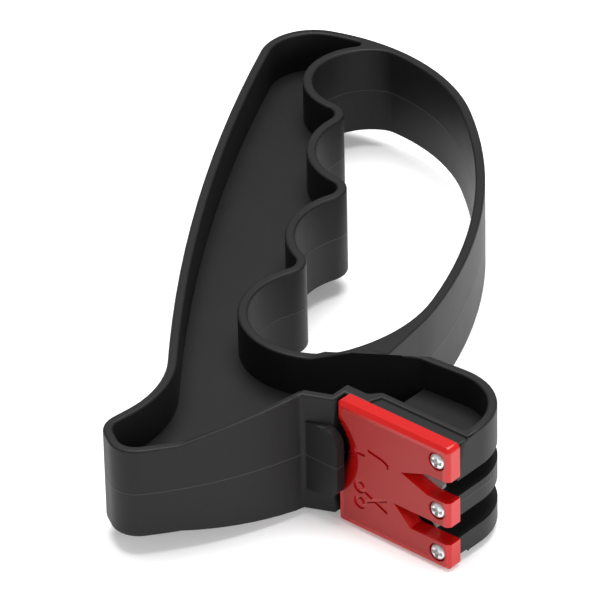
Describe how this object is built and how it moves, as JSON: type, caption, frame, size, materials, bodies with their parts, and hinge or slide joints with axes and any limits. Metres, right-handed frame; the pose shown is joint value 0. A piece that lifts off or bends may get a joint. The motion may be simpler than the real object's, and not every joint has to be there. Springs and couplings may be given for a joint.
{
  "type": "hand-held knife and scissors sharpener",
  "caption": "Hand-held two-slot sharpener: finger-loop handle moulded in one piece, with a screwed red cover plate over crossed carbide knife cutters and a scissors cutter.",
  "frame": {"origin": "middle of the underside of the whole tool, lying flat on its side", "axes": "+X runs along the cover plate towards the slot mouths, +Y runs from the cover plate through the head and up the grip, +Z is the thickness of the tool"},
  "size_m": [0.1152, 0.1302, 0.0246],
  "materials": {
    "black_plastic": "satin moulded",
    "red_plastic": "satin moulded",
    "screw_steel": "bright plated",
    "carbide": "ground"
  },
  "bodies": {
    "root": {"handle": "black_plastic", "cover_plate": "red_plastic", "cover_screw_upper": "screw_steel", "cover_screw_middle": "screw_steel", "cover_screw_lower": "screw_steel", "knife_cutter_upper": "carbide", "knife_cutter_lower": "carbide", "scissor_cutter": "carbide"}
  },
  "joints": []
}
